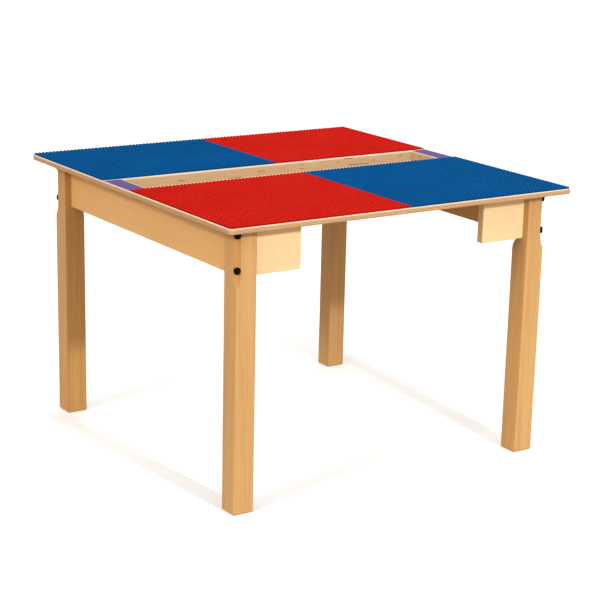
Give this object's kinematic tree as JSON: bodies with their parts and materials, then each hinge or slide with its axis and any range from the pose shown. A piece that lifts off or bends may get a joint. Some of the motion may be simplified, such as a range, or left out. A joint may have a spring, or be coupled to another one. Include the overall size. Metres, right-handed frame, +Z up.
{
  "type": "play table",
  "caption": "Low square wooden play table with a plywood panel, red and blue studded building plates, a shallow middle trough and bolted legs.",
  "frame": {"origin": "on the floor under the middle of the panel", "axes": "+X along the trough to the right of the picture, +Y to the back, +Z up"},
  "size_m": [0.774, 0.778, 0.5434],
  "materials": {
    "birch_plywood": "clear satin lacquer, layers bare at the edges",
    "leg_timber": "clear satin lacquer",
    "rail_timber": "clear satin lacquer",
    "inner_timber": "bare planed wood",
    "red_plastic": "moulded gloss",
    "blue_plastic": "moulded gloss",
    "black_steel": "black oxide",
    "zinc_steel": "zinc plated",
    "purple_film": "printed film, plain"
  },
  "bodies": {
    "root": {"table_top": "birch_plywood", "plate_front_left": "red_plastic", "plate_front_right": "blue_plastic", "plate_back_left": "blue_plastic", "plate_back_right": "red_plastic", "leg_front_left": "leg_timber", "rail_front_left": "rail_timber", "corner_block_front_left": "inner_timber", "leg_front_right": "leg_timber", "rail_front_right": "rail_timber", "corner_block_front_right": "inner_timber", "leg_back_left": "leg_timber", "rail_back_left": "rail_timber", "corner_block_back_left": "inner_timber", "leg_back_right": "leg_timber", "rail_back_right": "rail_timber", "corner_block_back_right": "inner_timber", "side_apron_left": "rail_timber", "trough_end_left": "birch_plywood", "cleat_left_front": "inner_timber", "cleat_left_back": "inner_timber", "side_apron_right": "rail_timber", "trough_end_right": "birch_plywood", "cleat_right_front": "inner_timber", "cleat_right_back": "inner_timber", "trough_strip_front": "birch_plywood", "trough_strip_back": "birch_plywood", "trough_floor": "birch_plywood", "leg_bolts": "black_steel", "leg_nuts": "zinc_steel", "top_screws": "zinc_steel", "trough_screws": "zinc_steel"}
  },
  "joints": []
}
